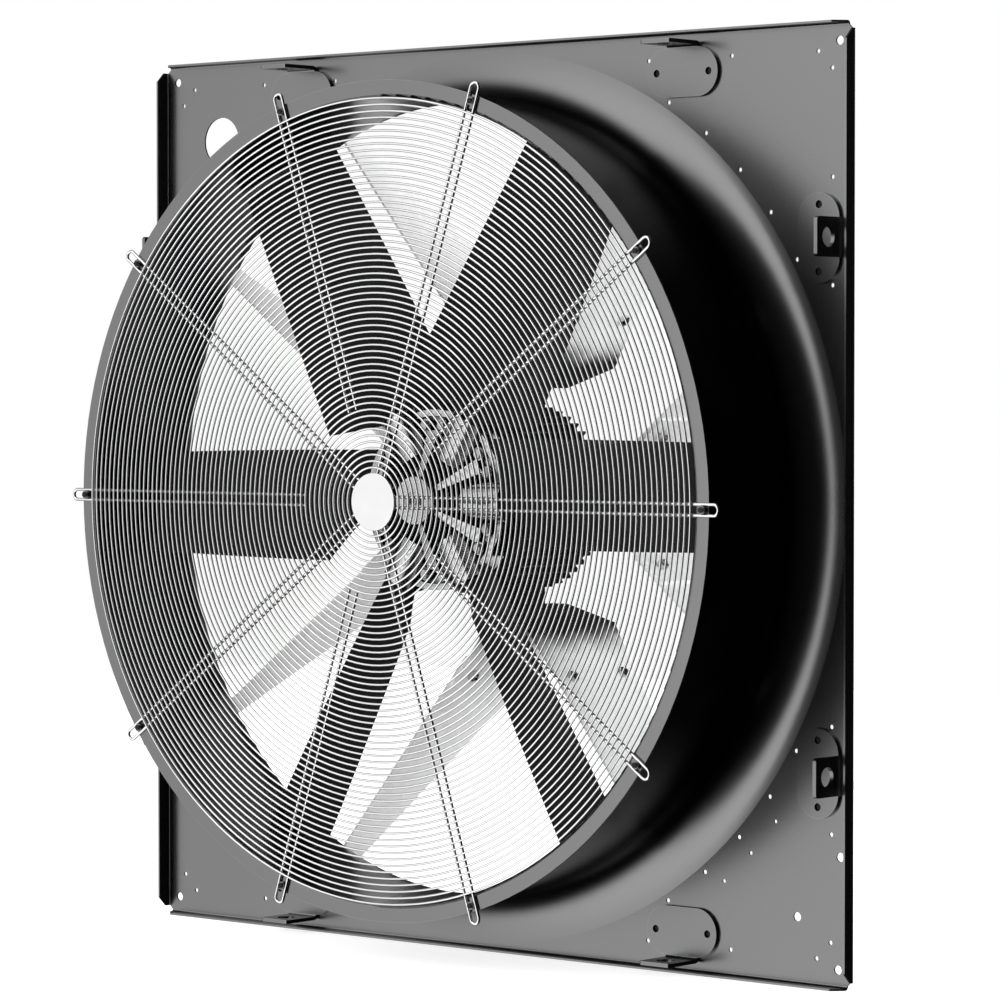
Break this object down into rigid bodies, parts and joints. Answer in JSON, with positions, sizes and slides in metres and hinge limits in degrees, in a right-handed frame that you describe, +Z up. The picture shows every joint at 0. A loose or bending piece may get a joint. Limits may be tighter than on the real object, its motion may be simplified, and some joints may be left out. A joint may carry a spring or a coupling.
{
  "type": "axial fan",
  "caption": "Square wall-plate axial fan with a bellmouth duct, wire guard, adjustable-pitch bladed impeller and a motor on sheet arms behind the plate.",
  "frame": {"origin": "centre of the four corner holes, on the rear face of the wall plate, on the fan axis", "axes": "+Y along the fan axis from the guard towards the motor, +X right as seen from the guard, +Z up"},
  "size_m": [1.45, 0.544, 1.45],
  "materials": {
    "duct_paint": "grey metallic paint",
    "guard_wire": "bright zinc-plated wire",
    "black_fastener": "black zinc",
    "zinc_fastener": "zinc plated",
    "galvanised_sheet": "galvanised sheet",
    "motor_paint": "black motor paint",
    "gland_plastic": "moulded",
    "core_steel": "stacked laminations",
    "winding_copper": "enamelled copper",
    "turned_steel": "turned",
    "bearing_steel": "ground",
    "blade_black": "black moulded blade",
    "hub_casting": "die cast"
  },
  "bodies": {
    "frame": {"arm_bolts": "zinc_fastener", "arm_bottom_left": "galvanised_sheet", "arm_bottom_right": "galvanised_sheet", "arm_left_lower": "galvanised_sheet", "arm_left_upper": "galvanised_sheet", "arm_nuts": "zinc_fastener", "arm_right_lower": "galvanised_sheet", "arm_right_upper": "galvanised_sheet", "arm_top_left": "galvanised_sheet", "arm_top_right": "galvanised_sheet", "cable_gland": "gland_plastic", "front_bearing_outer_ring": "bearing_steel", "guard_centre_disc": "guard_wire", "guard_nuts": "black_fastener", "guard_rings": "guard_wire", "guard_screws": "black_fastener", "guard_spokes": "guard_wire", "lug_bolts": "black_fastener", "lug_bottom_left": "duct_paint", "lug_bottom_right": "duct_paint", "lug_left_lower": "duct_paint", "lug_left_upper": "duct_paint", "lug_right_lower": "duct_paint", "lug_right_upper": "duct_paint", "lug_top_left": "duct_paint", "lug_top_right": "duct_paint", "motor_bracket_bottom": "galvanised_sheet", "motor_bracket_left": "galvanised_sheet", "motor_bracket_right": "galvanised_sheet", "motor_bracket_top": "galvanised_sheet", "motor_front_shield": "motor_paint", "motor_housing": "motor_paint", "motor_pad_bolts": "zinc_fastener", "motor_rear_shield": "motor_paint", "nozzle_ring": "duct_paint", "rear_bearing_outer_ring": "bearing_steel", "shield_bolts": "zinc_fastener", "stator_core": "core_steel", "stator_winding": "winding_copper", "terminal_box": "motor_paint", "terminal_box_lid": "motor_paint", "wall_plate": "duct_paint"},
    "impeller": {"bearing_balls": "bearing_steel", "blade_1": "blade_black", "blade_2": "blade_black", "blade_3": "blade_black", "blade_4": "blade_black", "blade_5": "blade_black", "blade_6": "blade_black", "front_bearing_inner_ring": "bearing_steel", "hub_bolts": "zinc_fastener", "hub_bush": "turned_steel", "hub_front_half": "hub_casting", "hub_rear_half": "hub_casting", "motor_shaft": "turned_steel", "rear_bearing_inner_ring": "bearing_steel", "rotor_core": "core_steel", "shaft_end_screw": "zinc_fastener", "shaft_end_washer": "turned_steel", "shaft_key": "turned_steel"}
  },
  "joints": [
    {"name": "impeller_spin", "type": "hinge", "parent": "frame", "child": "impeller", "pos_m": [0, 0, 0], "axis": [0, 1, 0], "continuous": true}
  ]
}
